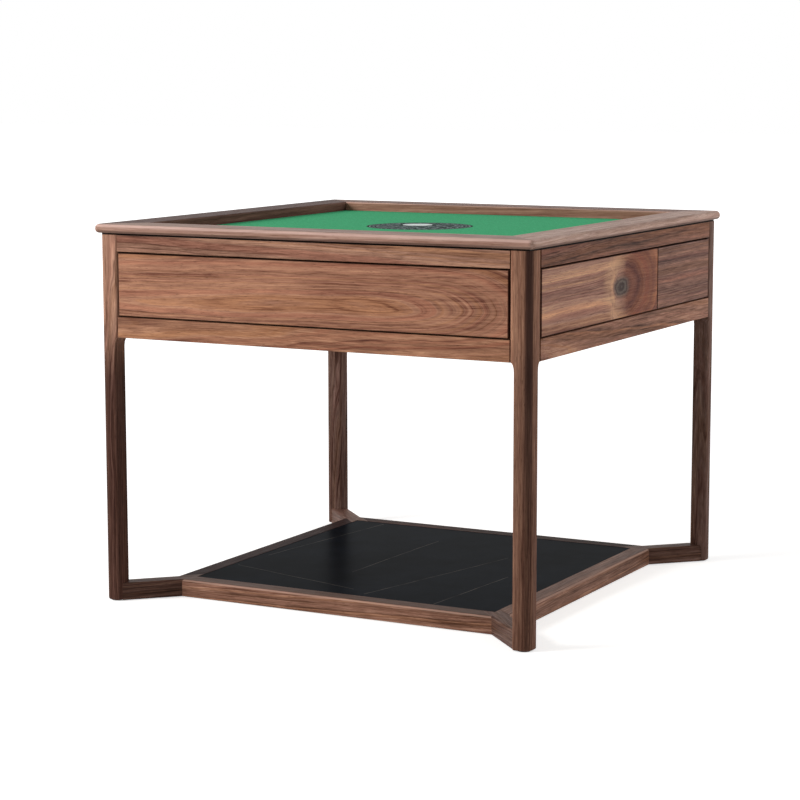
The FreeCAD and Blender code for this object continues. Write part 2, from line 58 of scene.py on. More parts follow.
def addNode(tree, kind, inputs=None, **settings):
    # an input takes a value, a socket to link, or a node, whose first output in use is linked
    node = tree.nodes.new(kind)
    for name, value in settings.items():
        setattr(node, name, value)
    for name, value in (inputs or {}).items():
        if isinstance(value, bpy.types.Node):
            value = next(socket for socket in value.outputs if socket.enabled)
        if isinstance(value, bpy.types.NodeSocket):
            tree.links.new(value, node.inputs[name])
        else:
            node.inputs[name].default_value = value
    return node


def fillRamp(node, stops):
    # each stop is a place with a colour, or with a number for a grey
    ramp = node.color_ramp
    while len(ramp.elements) < len(stops):
        ramp.elements.new(0.5)
    for element, (place, colour) in zip(ramp.elements, stops):
        element.position = place
        element.color = linear(colour) if isinstance(colour, str) else (colour, colour, colour, 1.0)
    return node


def startMaterial(name):
    material = bpy.data.materials.new(name)
    material.use_nodes = True
    material.node_tree.nodes.clear()
    return material, material.node_tree


def finishMaterial(material, shader):
    addNode(material.node_tree, "ShaderNodeOutputMaterial", {"Surface": shader})
    return material


def dress(node, material):
    slots = nodes[node].data.materials
    for place in range(len(slots)):
        slots[place] = material


def addObject(name, shape, material):
    mesh = bpy.data.meshes.new(name)
    shape.to_mesh(mesh)
    shape.free()
    mesh.materials.append(material)
    piece = bpy.data.objects.new(name, mesh)
    bpy.context.scene.collection.objects.link(piece)
    return piece


# walnut: oiled solid boards, each cut from its own place in the log

walnut = {
    "ringSpacing": 5 * mm,      # one year's growth as it runs out on a board's face
    "wander": 11 * mm,          # how far the rings stray from true circles
    "bends": (1.9, 9, 9),       # per metre: they stray once in 530 mm up the log and in 110 mm across it
    "clouds": (2.6, 16, 16),    # per metre: dark stretches about 380 mm long and 60 mm wide
    "fibreWidth": 2.2 * mm,     # a real fibre is finer than a pixel, so it is drawn as a small bundle
    "fibreLength": 55 * mm,
    "streakWidth": 8 * mm,      # bundles of darker and paler fibres
    "streakLength": 320 * mm,
    "poreWidth": 0.9 * mm,      # open pores, short dark dashes
    "poreLength": 14 * mm,
    "poreDepth": 0.8,           # share of the relief
    "ochre": "#fff3dc",         # tints that the years bring in turn, laid over a board's own colours
    "rose": "#fae6e4",
    "ior": 1.46,                # hardwax oil
    "roughness": (0.38, 0.56),
    "relief": 0.09 * mm,
}
axes = {"x": Vector((1, 0, 0)), "y": Vector((0, 1, 0)), "z": Vector((0, 0, 1))}


def boardMapping(node, grain, face, pith, lean, shift):
    # turns the object's axes into the log's: x up the log, y and z out from its pith
    low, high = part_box(node)
    along, out = axes[grain], axes[face]
    turned = Matrix((along, out.cross(along), out))
    leaning = Matrix.Rotation(lean[0], 3, "Y") @ Matrix.Rotation(lean[1], 3, "Z")
    turned = leaning @ turned
    place = turned @ ((low + high) / -2) + Vector((shift, -pith[0], -pith[1]))
    return turned.to_euler(), place


def dressWalnut(node, grain, face, tones, pith, lean=(0.02, 0.01), shift=0.0, sweep=None, knot=None,
                revealShade=0.0, paintedLight=(), head=None, paintedGapShade=None):
    # oiled black walnut, planed and sanded: brown with darker streaks, silky but not shiny
    material, tree = startMaterial("walnut_" + node)
    turn, place = boardMapping(node, grain, face, pith, lean, shift)
    coords = addNode(tree, "ShaderNodeTexCoord").outputs
    log = addNode(tree, "ShaderNodeMapping", {
        "Vector": coords["Object"], "Rotation": turn, "Location": place,
    })

    stretched = addNode(tree, "ShaderNodeVectorMath", {0: log, 1: walnut["bends"]}, operation="MULTIPLY")
    stray = addNode(tree, "ShaderNodeTexNoise", {"Vector": stretched, "Scale": 1.0, "Detail": 4.0})
    centred = addNode(tree, "ShaderNodeVectorMath", {
        0: stray.outputs["Color"], 1: (0.5, 0.5, 0.5),
    }, operation="SUBTRACT")
    strayed = addNode(tree, "ShaderNodeVectorMath", {
        0: centred, 1: (0, 2 * walnut["wander"], 2 * walnut["wander"]), 2: log,
    }, operation="MULTIPLY_ADD")
    grown = strayed
    if sweep:
        grown = bow(tree, grown, shift, *sweep)
    if knot:
        grown, eye = bendRound(tree, grown, turn.to_matrix() @ knot["place"] + place, knot)
    across = addNode(tree, "ShaderNodeVectorMath", {0: grown, 1: (0, 1, 1)}, operation="MULTIPLY")
    radius = addNode(tree, "ShaderNodeVectorMath", {0: across}, operation="LENGTH")
    if knot:
        radius = addNode(tree, "ShaderNodeMix", {"Factor": eye["swirl"], 2: radius, 3: eye["distance"]})

    # years of uneven width: a broad light and dark drift, and a thin dark line at each year's end
    years = addNode(tree, "ShaderNodeMath", {0: radius, 1: 1 / walnut["ringSpacing"]}, operation="MULTIPLY")
    drift = addNode(tree, "ShaderNodeTexNoise", {
        "W": years, "Scale": tones["bands"], "Detail": 5.0, "Roughness": tones["broken"],
    }, noise_dimensions="1D")
    uneven = addNode(tree, "ShaderNodeMath", {0: drift, 1: 3.0, 2: years}, operation="MULTIPLY_ADD")
    year = addNode(tree, "ShaderNodeMath", {0: uneven}, operation="FRACT")
    lateWood = fillRamp(addNode(tree, "ShaderNodeValToRGB", {"Fac": year}),
                        [(0.0, 0.55), (0.1, 0.0), (0.62, 0.12), (0.93, 1.0), (1.0, 0.55)])

    # clouds fade the year lines in and out and darken whole stretches of the board
    scaled = addNode(tree, "ShaderNodeVectorMath", {0: log, 1: walnut["clouds"]}, operation="MULTIPLY")
    clouds = addNode(tree, "ShaderNodeTexNoise", {
        "Vector": scaled, "Scale": 1.0, "Detail": 3.0, "Roughness": 0.6,
    })
    cloud = addNode(tree, "ShaderNodeSeparateColor", {"Color": clouds.outputs["Color"]}).outputs
    shown = addNode(tree, "ShaderNodeMapRange", {
        "Value": cloud["Blue"], "From Min": 0.36, "From Max": 0.62,
    }, interpolation_type="SMOOTHSTEP")
    lines = addNode(tree, "ShaderNodeMath", {0: lateWood, 1: shown}, operation="MULTIPLY")

    figure = {}
    for part, detail in (("fibre", 3.0), ("streak", 2.0), ("pore", 1.0)):
        wide, length = 1 / walnut[part + "Width"], 1 / walnut[part + "Length"]
        scaled = addNode(tree, "ShaderNodeVectorMath", {
            0: strayed, 1: (length, wide, wide),
        }, operation="MULTIPLY")
        figure[part] = addNode(tree, "ShaderNodeTexNoise", {
            "Vector": scaled, "Scale": 1.0, "Detail": detail, "Roughness": 0.62,
        })
    openPores = fillRamp(addNode(tree, "ShaderNodeValToRGB", {"Fac": figure["pore"]}),
                         [(0.6, 0.0), (0.8, 0.75)])

    # how dark the wood is at a point: each cause swings it about the middle
    swings = ((drift, tones["drift"]), (figure["fibre"], tones["fibres"]),
              (figure["streak"], tones["streaks"]), (cloud["Red"], tones["clouds"]))
    depth = tones["middle"] - sum(share for _, share in swings) / 2 - 0.15 * tones["lines"]
    for cause, share in (*swings, (lines, tones["lines"])):
        depth = addNode(tree, "ShaderNodeMath", {0: cause, 1: share, 2: depth}, operation="MULTIPLY_ADD")
    colour = fillRamp(addNode(tree, "ShaderNodeValToRGB", {"Fac": depth}),
                      list(zip((0.0, 0.35, 0.7, 1.0), tones["colours"])))
    turns = addNode(tree, "ShaderNodeSeparateColor", {"Color": drift.outputs["Color"]})
    tint = fillRamp(addNode(tree, "ShaderNodeValToRGB", {"Fac": turns.outputs["Green"]}),
                    [(0.36, walnut["ochre"]), (0.5, "#ffffff"), (0.62, walnut["rose"])])
    colour = addNode(tree, "ShaderNodeMix", {
        "Factor": tones["tint"], 6: colour, 7: tint,
    }, data_type="RGBA", blend_type="MULTIPLY")
    colour = addNode(tree, "ShaderNodeMix", {
        "Factor": openPores, 6: colour, 7: linear(tones["colours"][3]),
    }, data_type="RGBA")
    if knot:
        colour = tintKnot(tree, colour, eye, knot, figure["streak"])
    # painted shade along a front's edges, beside its reveals
    if revealShade:
        colour = paintRevealShade(tree, coords, colour, node, face, revealShade, tones["colours"][3])
    # painted light: painted shade and painted highlights by the way the surface faces
    for facing in paintedLight:
        colour = paintFacingLight(tree, coords, colour, *facing)
    if head:
        colour = tintLevel(tree, coords, colour, "MULTIPLY", *head)
    # painted shadow in the shadow gap: the rebate under the rim and the rail tops under it
    if paintedGapShade:
        colour = tintLevel(tree, coords, colour, "MIX", *paintedGapShade)

    rough = addNode(tree, "ShaderNodeMapRange", {
        "Value": figure["fibre"], "From Min": 0.3, "From Max": 0.7,
        "To Min": walnut["roughness"][0], "To Max": walnut["roughness"][1],
    })
    grooves = addNode(tree, "ShaderNodeMath", {
        0: openPores, 1: -walnut["poreDepth"], 2: figure["fibre"],
    }, operation="MULTIPLY_ADD")
    bump = addNode(tree, "ShaderNodeBump", {
        "Height": grooves, "Distance": walnut["relief"], "Strength": 0.6,
    })
    shader = addNode(tree, "ShaderNodeBsdfPrincipled", {
        "Base Color": colour, "Roughness": rough, "IOR": walnut["ior"],
        "Specular IOR Level": tones["specular"], "Normal": bump,
    })
    dress(node, finishMaterial(material, shader))


def bow(tree, grown, shift, start, strength):
    # a log that bends away past a point, so the saw runs out through its years in nested arches
    split = addNode(tree, "ShaderNodeSeparateXYZ", {"Vector": grown})
    past = addNode(tree, "ShaderNodeMath", {0: split.outputs["X"], 1: shift + start}, operation="SUBTRACT")
    past = addNode(tree, "ShaderNodeMath", {0: past, 1: 0.0}, operation="MAXIMUM")
    square = addNode(tree, "ShaderNodeMath", {0: past, 1: 2.0}, operation="POWER")
    raised = addNode(tree, "ShaderNodeCombineXYZ", {"Z": square})
    return addNode(tree, "ShaderNodeVectorMath", {
        0: raised, 1: (0, 0, strength), 2: grown,
    }, operation="MULTIPLY_ADD")


def bendRound(tree, grown, heart, knot):
    # the grain parts round a knot as water does round a post, and swirls on its far side
    fromHeart = addNode(tree, "ShaderNodeVectorMath", {0: grown, 1: heart}, operation="SUBTRACT")
    ripple = addNode(tree, "ShaderNodeTexNoise", {
        "Vector": grown, "Scale": knot["ripples"], "Detail": 4.0, "Roughness": 0.6,
    })
    ripple = addNode(tree, "ShaderNodeVectorMath", {
        0: ripple.outputs["Color"], 1: (0.5, 0.5, 0.5),
    }, operation="SUBTRACT")
    fromHeart = addNode(tree, "ShaderNodeVectorMath", {
        0: ripple, 1: (knot["stretch"] * knot["ripple"], knot["ripple"], 0), 2: fromHeart,
    }, operation="MULTIPLY_ADD")
    inFace = addNode(tree, "ShaderNodeVectorMath", {
        0: fromHeart, 1: (1 / knot["stretch"], 1, 0),
    }, operation="MULTIPLY")
    distance = addNode(tree, "ShaderNodeVectorMath", {0: inFace}, operation="LENGTH")
    clear = addNode(tree, "ShaderNodeMath", {0: distance, 1: knot["radius"]}, operation="MAXIMUM")
    share = addNode(tree, "ShaderNodeMath", {0: knot["radius"], 1: clear}, operation="DIVIDE")
    share = addNode(tree, "ShaderNodeMath", {0: share, 1: 2.0}, operation="POWER")
    pushed = addNode(tree, "ShaderNodeVectorMath", {0: inFace, "Scale": share}, operation="SCALE")
    bent = addNode(tree, "ShaderNodeVectorMath", {
        0: pushed, 1: (0, -1, 0), 2: grown,
    }, operation="MULTIPLY_ADD")
    # the fan of curved years round the eye is taller than the eye, and runs far past it along the grain
    fan = addNode(tree, "ShaderNodeVectorMath", {
        0: inFace, 1: (1, knot["fanHeight"], 0),
    }, operation="MULTIPLY")
    fan = addNode(tree, "ShaderNodeVectorMath", {0: fan}, operation="LENGTH")
    split = addNode(tree, "ShaderNodeSeparateXYZ", {"Vector": inFace})
    past = addNode(tree, "ShaderNodeMath", {0: split.outputs["X"], 1: distance}, operation="DIVIDE")
    reach = addNode(tree, "ShaderNodeMapRange", {
        "Value": past, "From Min": -0.6, "From Max": 0.9,
        "To Min": knot["fanReach"][0], "To Max": knot["fanReach"][1],
    })
    near = addNode(tree, "ShaderNodeMath", {0: fan, 1: reach}, operation="DIVIDE")
    swirl = addNode(tree, "ShaderNodeMapRange", {
        "Value": near, "From Min": 0.55, "From Max": 1.1, "To Min": 1.0, "To Max": 0.0,
    }, interpolation_type="SMOOTHSTEP")
    return bent, {"distance": distance, "fan": fan, "past": past, "swirl": swirl}


def tintKnot(tree, colour, eye, knot, streak):
    # a red-brown fan past the eye, a pale burr before it, and a grey-brown eye with a dark core
    after = addNode(tree, "ShaderNodeMapRange", {"Value": eye["past"], "From Min": -0.3, "From Max": 0.5})
    swirled = addNode(tree, "ShaderNodeMath", {0: eye["swirl"], 1: after}, operation="MULTIPLY")
    colour = addNode(tree, "ShaderNodeMix", {
        "Factor": swirled, 6: colour, 7: linear(knot["swirl"]),
    }, data_type="RGBA", blend_type="MULTIPLY")
    # the burr's ramp ends at four knot radii, the eye's at two
    scaled = addNode(tree, "ShaderNodeMath", {
        0: eye["fan"], 1: 0.25 / knot["radius"],
    }, operation="MULTIPLY")
    ring = fillRamp(addNode(tree, "ShaderNodeValToRGB", {"Fac": scaled}),
                    [(0.2, 0.0), (0.28, 0.9), (0.42, 0.7), (0.58, 0.0)])
    before = addNode(tree, "ShaderNodeMapRange", {"Value": eye["past"], "From Min": 0.3, "From Max": -0.3})
    broken = addNode(tree, "ShaderNodeMapRange", {
        "Value": streak, "From Min": 0.34, "From Max": 0.56, "To Min": 0.95, "To Max": 0.35,
    })
    burr = addNode(tree, "ShaderNodeMath", {0: ring, 1: before}, operation="MULTIPLY")
    burr = addNode(tree, "ShaderNodeMath", {0: burr, 1: broken}, operation="MULTIPLY")
    colour = addNode(tree, "ShaderNodeMix", {
        "Factor": burr, 6: colour, 7: linear(knot["halo"]),
    }, data_type="RGBA")
    scaled = addNode(tree, "ShaderNodeMath", {
        0: eye["distance"], 1: 0.5 / knot["radius"],
    }, operation="MULTIPLY")
    inEye = fillRamp(addNode(tree, "ShaderNodeValToRGB", {"Fac": scaled}),
                     [(0.0, 0.92), (0.32, 0.85), (0.55, 0.0)])
    eyeColour = fillRamp(addNode(tree, "ShaderNodeValToRGB", {"Fac": scaled}),
                         [(0.0, knot["eye"]), (0.07, knot["core"]), (0.17, knot["core"]),
                          (0.24, knot["eye"]), (0.33, knot["core"]), (0.4, knot["eye"])])
    return addNode(tree, "ShaderNodeMix", {"Factor": inEye, 6: colour, 7: eyeColour}, data_type="RGBA")


def paintRevealShade(tree, coords, colour, node, face, width, shade):
    # painted shade: a dark band along the edges of a flush front, where shade falls into the reveal, which
    # draws the reveal a little wider
    low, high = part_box(node)
    fromMiddle = addNode(tree, "ShaderNodeVectorMath", {
        0: coords["Object"], 1: (low + high) / 2,
    }, operation="SUBTRACT")
    fromMiddle = addNode(tree, "ShaderNodeVectorMath", {0: fromMiddle}, operation="ABSOLUTE")
    inward = addNode(tree, "ShaderNodeVectorMath", {
        0: fromMiddle, 1: (high - low) / 2,
    }, operation="SUBTRACT")
    split = addNode(tree, "ShaderNodeSeparateXYZ", {"Vector": inward}).outputs
    nearest = addNode(tree, "ShaderNodeMath", {
        0: split["X" if face == "y" else "Y"], 1: split["Z"],
    }, operation="MAXIMUM")
    dark = addNode(tree, "ShaderNodeMapRange", {
        "Value": nearest, "From Min": -width, "From Max": -width / 3, "To Max": 0.8,
    })
    return addNode(tree, "ShaderNodeMix", {
        "Factor": dark, 6: colour, 7: linear(shade),
    }, data_type="RGBA")


def paintFacingLight(tree, coords, colour, shade, strength, way, fade=(-2.0, -1.0)):
    # painted light where the surface faces one way: painted shade down a post's round outer corner, on flat
    # tops and under rounded edges, painted highlights along rounded edges; it weakens below the height
    # where the fade begins
    turned = addNode(tree, "ShaderNodeVectorMath", {
        0: coords["Normal"], 1: Vector(way).normalized(),
    }, operation="DOT_PRODUCT")
    share = addNode(tree, "ShaderNodeMapRange", {
        "Value": turned, "From Min": 0.84, "From Max": 0.98, "To Max": strength,
    }, interpolation_type="SMOOTHSTEP")
    split = addNode(tree, "ShaderNodeSeparateXYZ", {"Vector": coords["Object"]})
    height = addNode(tree, "ShaderNodeMapRange", {
        "Value": split.outputs["Z"], "From Min": fade[0], "From Max": fade[1], "To Min": 0.3,
    }, interpolation_type="SMOOTHSTEP")
    share = addNode(tree, "ShaderNodeMath", {0: share, 1: height}, operation="MULTIPLY")
    return addNode(tree, "ShaderNodeMix", {
        "Factor": share, 6: colour, 7: linear(shade),
    }, data_type="RGBA")


def tintLevel(tree, coords, colour, blend, shade, start, full, beyond=0.0):
    # a tint that comes in between two heights, on the parts further out than one distance
    split = addNode(tree, "ShaderNodeSeparateXYZ", {"Vector": coords["Object"]})
    share = addNode(tree, "ShaderNodeMapRange", {
        "Value": split.outputs["Z"], "From Min": start, "From Max": full,
    }, interpolation_type="SMOOTHSTEP")
    positive = addNode(tree, "ShaderNodeVectorMath", {0: coords["Object"]}, operation="ABSOLUTE")
    sideways = addNode(tree, "ShaderNodeSeparateXYZ", {"Vector": positive}).outputs
    distance = addNode(tree, "ShaderNodeMath", {0: sideways["X"], 1: sideways["Y"]}, operation="MAXIMUM")
    isOut = addNode(tree, "ShaderNodeMath", {0: distance, 1: beyond}, operation="GREATER_THAN")
    share = addNode(tree, "ShaderNodeMath", {0: share, 1: isOut}, operation="MULTIPLY")
    return addNode(tree, "ShaderNodeMix", {
        "Factor": share, 6: colour, 7: linear(shade),
    }, data_type="RGBA", blend_type=blend)


# how a board gets its colour
frontTones = {
    "colours": ("#c08e70", "#9f735c", "#6e4739", "#382019"),    # from light to dark
    "middle": 0.42,             # where a plain spot lies between them
    "specular": 0.05,
    "bands": 0.36,              # how narrow the drifts of light and dark years are
    "broken": 0.68,             # and how broken
    # how much of the change comes from each cause, and how much of the years' tints shows
    "drift": 0.8, "lines": 0.36, "fibres": 1.0, "streaks": 0.6, "clouds": 0.6, "tint": 0.8,
}
sideFrontTones = dict(frontTones, colours=("#d9ac83", "#a27a67", "#69443d", "#341d1b"), bands=0.17,
                      broken=0.5, drift=1.55, lines=0.25, fibres=0.55, streaks=0.4, clouds=0.4)
narrowFrontTones = dict(sideFrontTones, colours=("#a3765f", "#7b584b", "#553a31", "#2a1b18"), bands=0.25,
                        broken=0.6, drift=1.5, fibres=1.1)
railTones = dict(frontTones, colours=("#b68a70", "#8f6552", "#644435", "#321b13"), drift=1.0, fibres=1.15,
                 streaks=0.7, clouds=0.8, tint=0.9)
frontRailTones = dict(railTones, colours=("#bf8f71", "#976c54", "#6d4839", "#371f18"))
topRailTones = dict(railTones, colours=("#9c6a54", "#795241", "#55372b", "#2a160f"), drift=1.2)
frontTopRailTones = dict(railTones, colours=("#bb8f76", "#956f5c", "#6b4a3c", "#361f18"), drift=0.7,
                         clouds=0.4)
rimTones = dict(frontTones, colours=("#cdafa1", "#a98a7c", "#7b5f52", "#422f2a"), middle=0.38,
                specular=0.07, drift=0.9, lines=0.25, fibres=0.9, tint=0.35)
backRimTones = dict(rimTones, colours=("#cd9f8d", "#a67a68", "#744f41", "#3b2822"), drift=1.4, clouds=1.0)
# painted shade: a darker copy of the rim's tones for the left rim, standing in for the shade on its faces
paintedShadeRimTones = dict(rimTones, colours=("#7d5b50", "#61453c", "#45302a", "#261713"), specular=0.03)
legTones = dict(frontTones, colours=("#cca087", "#a47d69", "#735242", "#3a231c"), specular=0.02,
                drift=0.9, lines=0.4, fibres=0.9, tint=0.5)
nearLegTones = dict(legTones, colours=("#b68c70", "#8a6552", "#5e4033", "#301d15"), middle=0.43,
                    drift=0.85, lines=0.25)
# painted shade: a darker copy of the legs' tones for the back legs, standing in for the shade they stand in
paintedShadeLegTones = dict(legTones, colours=("#967e74", "#6d554c", "#473028", "#241612"), middle=0.45)
shelfTones = dict(frontTones, colours=("#b08873", "#85604f", "#5b3e30", "#2d1a13"), specular=0.07,
                  drift=1.1, lines=0.3, fibres=1.1, clouds=0.8, tint=0.7)
# painted shade: darker copies of the shelf's tones for the arms and the back and left rails, standing in
# for the shade the table top casts
paintedShadeArmTones = dict(shelfTones, colours=("#80645a", "#5f463c", "#422c24", "#21150f"))
paintedShadeShelfTones = dict(shelfTones, colours=("#513a34", "#3c2a25", "#2a1c19", "#160e0b"), specular=0.02)

bigKnot = {
    "place": Vector((471, -52, 639)) * mm,
    "radius": 22 * mm,          # across the grain
    "stretch": 1.9,             # longer along it
    "fanHeight": 0.62, "fanReach": (30 * mm, 150 * mm),
    "ripple": 15 * mm,
    "ripples": 46,              # per metre, 22 mm each
    "core": "#2f2724", "eye": "#5c524a", "halo": "#c79c78", "swirl": "#bb998b",
}

# each drawer front, and where its pith lay from the board's middle
fronts = {
    "drawer_front_face": dict(tones=frontTones, pith=(0.02, -0.035), lean=(0.02, 0.02), sweep=(0.1, 0.55)),
    "drawer_back_face": dict(tones=frontTones, pith=(0.02, 0.12), lean=(-0.045, 0.01)),
    "drawer_right_wide_face": dict(tones=sideFrontTones, pith=(0.14, 0.03), lean=(0.0, 0.0), knot=bigKnot),
    "drawer_right_narrow_face": dict(tones=narrowFrontTones, pith=(-0.12, 0.03), lean=(0.01, 0.01)),
    "drawer_left_wide_face": dict(tones=sideFrontTones, pith=(-0.02, -0.1), lean=(-0.05, 0.01)),
    "drawer_left_narrow_face": dict(tones=narrowFrontTones, pith=(0.07, 0.12), lean=(0.03, 0.02)),
}
# width of the painted shade along each front's edges
revealShadeWidth = 1.4 * mm
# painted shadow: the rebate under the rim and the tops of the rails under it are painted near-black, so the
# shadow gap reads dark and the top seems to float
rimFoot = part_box("rim_front")[0].z
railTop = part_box("top_rail_front")[1].z
paintedGapShade = {
    "colour": "#160d0a", "rebate": (rimFoot + 3.6 * mm, rimFoot + 3.2 * mm), "rail": 0.6 * mm,
    "reach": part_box("leg_front_right")[1].x - 9 * mm,     # the painted shadow covers only the parts further out than this
}
# painted light: flat tops get painted shade, rounded top edges painted highlights, and the rims' front
# faces and under-edges painted shade
up = (0, 0, 1)
rims = {
    "front": dict(tones=rimTones, paintedLight=[
        ("#6b5349", 0.35, up), ("#f0c9bd", 0.45, (0, -1, 1)), ("#8f6350", 0.35, (0, -1, 0)),
        ("#432b21", 0.6, (0, -1, -1))]),
    "right": dict(tones=rimTones, paintedLight=[("#432b21", 0.6, (1, 0, -1))]),
    "back": dict(tones=backRimTones, paintedLight=[
        ("#3a2924", 0.65, up), ("#e2bfb3", 0.4, (0, -1, 1)), ("#8a6250", 0.3, (0, -1, 0))]),
    "left": dict(tones=paintedShadeRimTones, paintedLight=[("#3f2e2b", 0.5, up)]),
}
# painted light on the shelf rails: painted shade on their tops, painted highlights on their rounded outer
# edges
shelfRails = {
    "front": dict(tones=shelfTones, paintedLight=[("#453026", 0.85, up), ("#e0b9a6", 0.35, (0, -1, 1))]),
    "right": dict(tones=shelfTones, paintedLight=[("#4a362d", 0.5, up), ("#c9a594", 0.4, (1, 0, 1))]),
    "back": dict(tones=paintedShadeShelfTones),
    "left": dict(tones=paintedShadeShelfTones, paintedLight=[("#2b1d1c", 0.8, up)]),
}
posts = {
    # painted shade down the near post's round outer corner, weaker towards the floor
    "front_right": dict(tones=nearLegTones, pith=(0.045, 0.03), lean=(0.012, 0.01),
                        paintedLight=[("#372623", 0.85, (1, -1, 0), (0.15, 0.62))], head=("#d9d9dd", 0.6, 0.5)),
    "back_right": dict(tones=paintedShadeLegTones, pith=(0.005, 0.016), lean=(0.05, 0.02)),
    "back_left": dict(tones=paintedShadeLegTones, pith=(0.005, 0.02), lean=(0.05, 0.02)),
    "front_left": dict(tones=legTones, pith=(0.024, 0.026), lean=(0.025, 0.01),
                       head=("#837b80", 0.6, 0.44)),
}


def runOf(name):
    # the grain and the show face of a member at that side
    return ("x", "y") if "front" in name or "back" in name else ("y", "x")


def dressBoards():
    # each board has its own shift up the log, in metres, so that no two show the same figure
    for place, (node, board) in enumerate(fronts.items()):
        dressWalnut(node, *runOf(node), shift=3.1 * place, revealShade=revealShadeWidth, **board)
    for place, side in enumerate(sides):
        grain, face = runOf(side)
        atFront = side == "front"
        # the top rails carry painted shadow along their tops, under the rim
        dressWalnut("top_rail_" + side, grain, face, frontTopRailTones if atFront else topRailTones,
                    (0.05, 0.09), shift=2.3 * place + 9,
                    paintedGapShade=(paintedGapShade["colour"], railTop - paintedGapShade["rail"], railTop))
        dressWalnut("bottom_rail_" + side, grain, face, frontRailTones if atFront else railTones,
                    (-0.04, 0.13), shift=2.3 * place + 5)
        # the rims carry painted shadow in their rebates, and painted shade and painted highlights by facing
        dressWalnut("rim_" + side, grain, "z", pith=(0.03, -0.14), shift=1.7 * place,
                    paintedGapShade=(paintedGapShade["colour"], *paintedGapShade["rebate"], paintedGapShade["reach"]), **rims[side])
        dressWalnut("shelf_rail_" + side, grain, "z", pith=(0.06, -0.1), shift=1.9 * place + 20,
                    **shelfRails[side])
    for place, corner in enumerate(corners):
        dressWalnut("leg_" + corner, "z", "y", shift=4.7 * place, **posts[corner])
        slant = math.pi / 4 * (1, -1, 1, -1)[place]
        dressWalnut("shelf_arm_" + corner, "x", "z", paintedShadeArmTones, (0.02, -0.12), (0.02, slant),
                    shift=1.1 * place)


dressBoards()
print("walnut dressed")


# inner wood: drawer boxes, runners and boards that show when a drawer is open

paleWood = {
    "light": "#d9bd94", "dark": "#bd9a6d", "pore": "#8f6d47",
    "streakWidth": 3.5 * mm, "streakLength": 220 * mm,
    "roughness": 0.48, "relief": 0.06 * mm,
}
plywood = {
    "veneer": "#dcc298", "veneerDark": "#c9a877", "darkPly": "#a37c50", "glue": "#6e4f31",
    "plyThickness": 1.4 * mm, "roughness": 0.5, "relief": 0.05 * mm,
    "figure": (6, 90, 90),      # per metre: streaks about 170 mm long and 11 mm wide
}


def makePaleWood(grain):
    # planed rubberwood under clear lacquer: cream, with short brown pore streaks
    material, tree = startMaterial("rubberwood_along_" + grain)
    coords = addNode(tree, "ShaderNodeTexCoord")
    wide, length = 1 / paleWood["streakWidth"], 1 / paleWood["streakLength"]
    scale = (length, wide, wide) if grain == "x" else (wide, length, wide)
    stretched = addNode(tree, "ShaderNodeVectorMath", {
        0: coords.outputs["Object"], 1: scale,
    }, operation="MULTIPLY")
    streaks = addNode(tree, "ShaderNodeTexNoise", {
        "Vector": stretched, "Scale": 1.0, "Detail": 4.0, "Roughness": 0.6,
    })
    colour = fillRamp(addNode(tree, "ShaderNodeValToRGB", {"Fac": streaks}),
                      [(0.3, paleWood["light"]), (0.62, paleWood["dark"]), (0.78, paleWood["pore"])])
    bump = addNode(tree, "ShaderNodeBump", {
        "Height": streaks, "Distance": paleWood["relief"], "Strength": 0.5,
    })
    shader = addNode(tree, "ShaderNodeBsdfPrincipled", {
        "Base Color": colour, "Roughness": paleWood["roughness"], "Normal": bump,
    })
    return finishMaterial(material, shader)


def makePlywood():
    # birch plywood: pale flat veneer on the faces, thin brown and cream plies on the edges
    material, tree = startMaterial("birch_plywood")
    coords = addNode(tree, "ShaderNodeTexCoord").outputs
    split = addNode(tree, "ShaderNodeSeparateXYZ", {"Vector": coords["Object"]})
    normal = addNode(tree, "ShaderNodeSeparateXYZ", {"Vector": coords["Normal"]})
    plies = addNode(tree, "ShaderNodeMath", {
        0: split.outputs["Z"], 1: 0.5 / plywood["plyThickness"],
    }, operation="MULTIPLY")
    ply = addNode(tree, "ShaderNodeMath", {0: plies}, operation="FRACT")
    edge = fillRamp(addNode(tree, "ShaderNodeValToRGB", {"Fac": ply}),
                    [(0.0, plywood["glue"]), (0.08, plywood["veneer"]), (0.46, plywood["veneer"]),
                     (0.5, plywood["glue"]), (0.56, plywood["darkPly"]), (0.95, plywood["darkPly"])])
    stretched = addNode(tree, "ShaderNodeVectorMath", {
        0: coords["Object"], 1: plywood["figure"],
    }, operation="MULTIPLY")
    figure = addNode(tree, "ShaderNodeTexNoise", {
        "Vector": stretched, "Scale": 1.0, "Detail": 4.0, "Distortion": 0.6,
    })
    veneer = fillRamp(addNode(tree, "ShaderNodeValToRGB", {"Fac": figure}),
                      [(0.35, plywood["veneer"]), (0.7, plywood["veneerDark"])])
    flat = addNode(tree, "ShaderNodeMath", {0: normal.outputs["Z"]}, operation="ABSOLUTE")
    onFace = addNode(tree, "ShaderNodeMath", {0: flat, 1: 0.7}, operation="GREATER_THAN")
    colour = addNode(tree, "ShaderNodeMix", {"Factor": onFace, 6: edge, 7: veneer}, data_type="RGBA")
    bump = addNode(tree, "ShaderNodeBump", {
        "Height": figure, "Distance": plywood["relief"], "Strength": 0.4,
    })
    shader = addNode(tree, "ShaderNodeBsdfPrincipled", {
        "Base Color": colour, "Roughness": plywood["roughness"], "Normal": bump,
    })
    return finishMaterial(material, shader)


